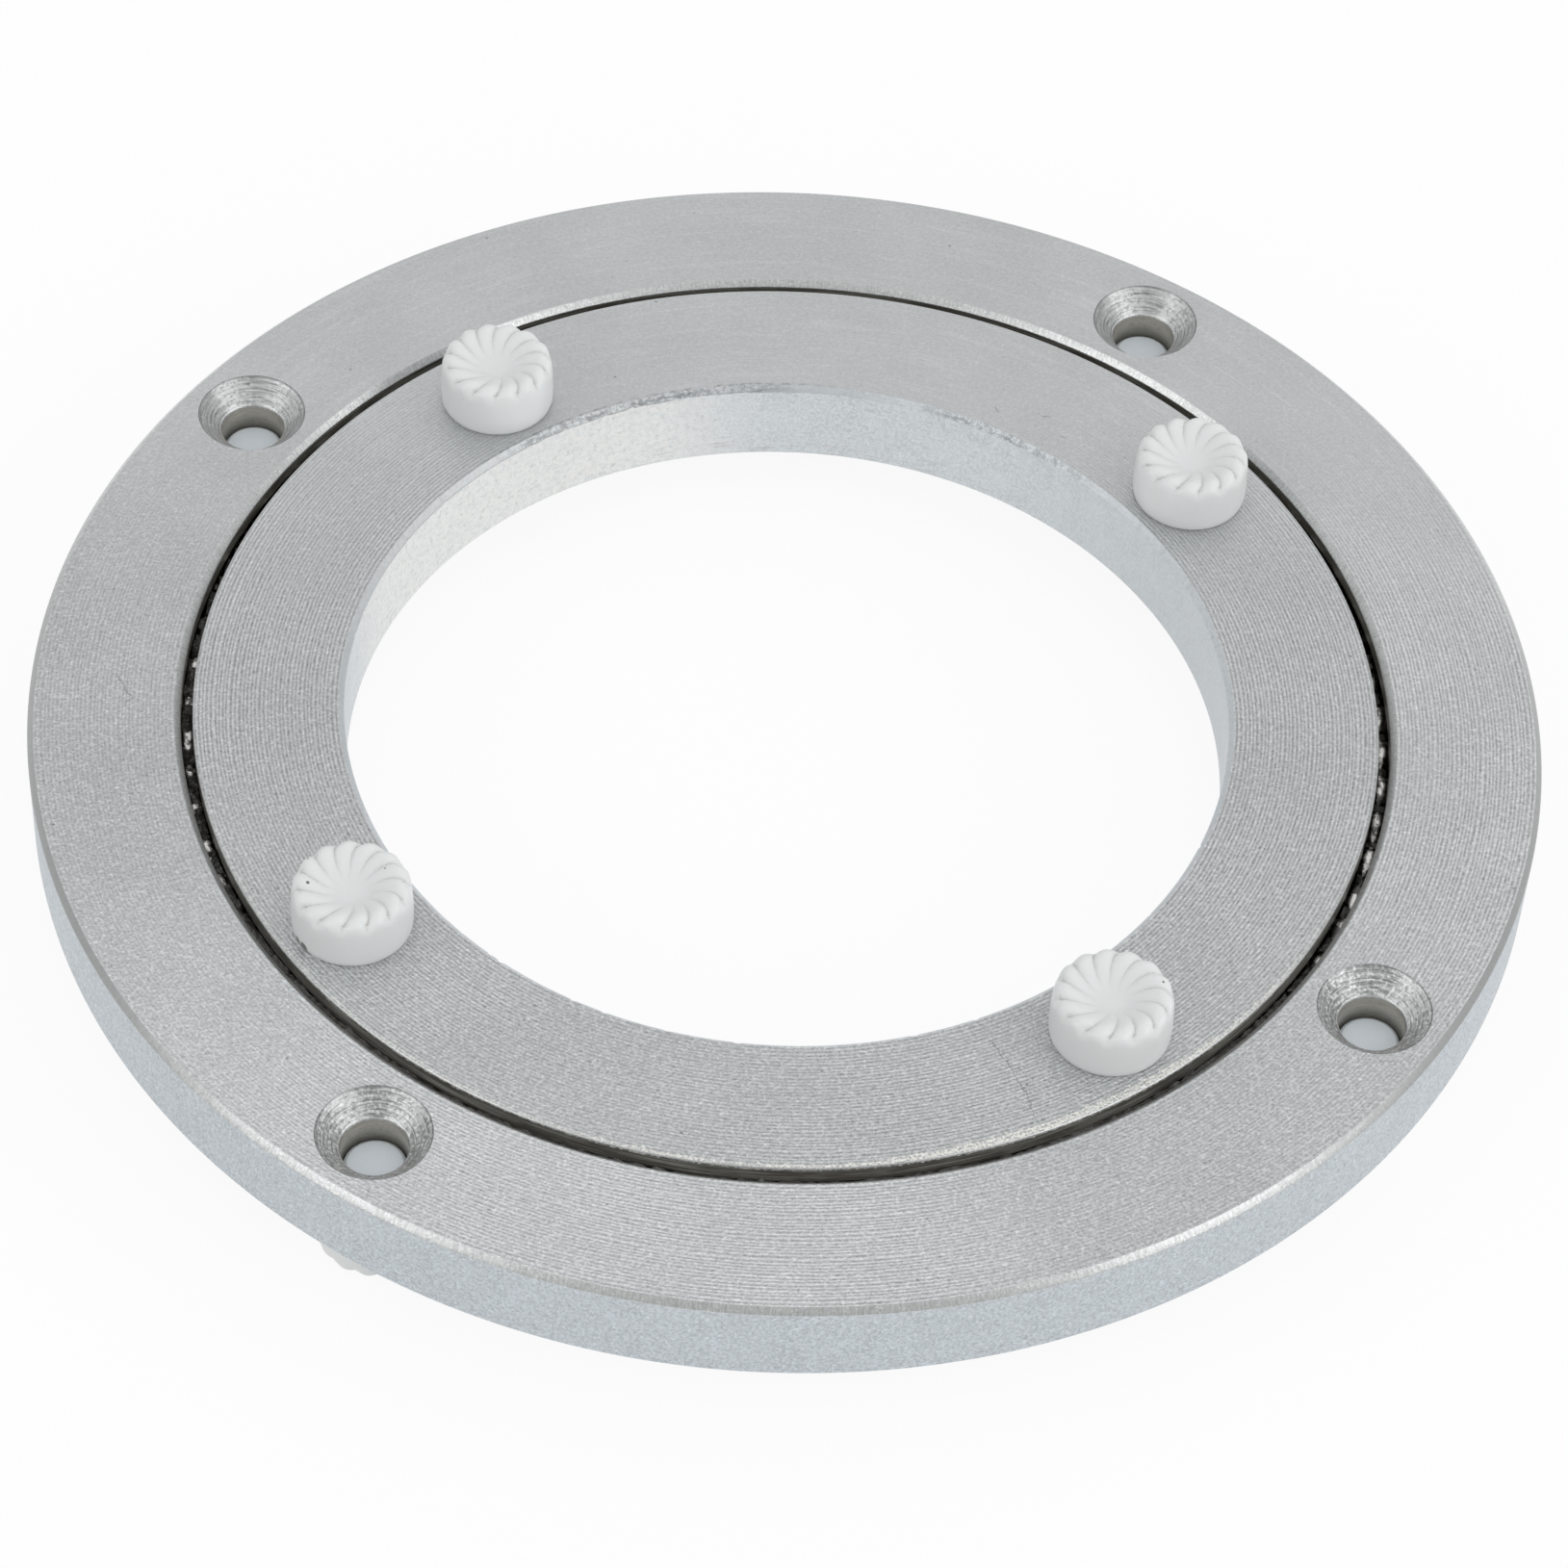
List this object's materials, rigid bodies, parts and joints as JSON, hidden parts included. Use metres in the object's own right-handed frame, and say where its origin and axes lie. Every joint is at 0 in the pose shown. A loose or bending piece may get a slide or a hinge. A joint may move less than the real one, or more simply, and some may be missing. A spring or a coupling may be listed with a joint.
{
  "type": "lazy susan bearing",
  "caption": "Flat round turntable bearing: an inner and an outer aluminium ring run on steel balls, with countersunk screw holes and white grooved pads plugged into them.",
  "frame": {"origin": "on the ring axis, in the plane that the foot pads stand on", "axes": "+Z along the ring axis, from the foot pads to the top pads; +X to the right of the picture and +Y away from its viewer"},
  "size_m": [0.14, 0.14, 0.0196],
  "materials": {
    "ring_aluminium": "fine turned top and bottom faces, blasted side walls",
    "pad_plastic": "white translucent moulded plastic, satin",
    "ball_steel": "polished, greased"
  },
  "bodies": {
    "outer": {"outer_ring": "ring_aluminium", "filling_plug": "ring_aluminium", "foot_pad_1": "pad_plastic", "foot_pad_2": "pad_plastic", "foot_pad_3": "pad_plastic", "foot_pad_4": "pad_plastic"},
    "inner": {"inner_ring": "ring_aluminium", "top_pad_1": "pad_plastic", "top_pad_2": "pad_plastic", "top_pad_3": "pad_plastic", "top_pad_4": "pad_plastic"},
    "balls": {"ball_set_01": "ball_steel", "ball_set_02": "ball_steel", "ball_set_03": "ball_steel", "ball_set_04": "ball_steel", "ball_set_05": "ball_steel", "ball_set_06": "ball_steel", "ball_set_07": "ball_steel", "ball_set_08": "ball_steel", "ball_set_09": "ball_steel", "ball_set_10": "ball_steel", "ball_set_11": "ball_steel"}
  },
  "joints": [
    {"name": "ring_turn", "type": "hinge", "parent": "outer", "child": "inner", "pos_m": [0, 0, 0.0098], "axis": [0, 0, 1], "continuous": true},
    {"name": "ball_orbit", "type": "hinge", "parent": "outer", "child": "balls", "pos_m": [0, 0, 0.0098], "axis": [0, 0, 1], "continuous": true}
  ],
  "couplings": [
    {"joint": "ball_orbit", "follows": "ring_turn", "ratio": 0.4857}
  ]
}
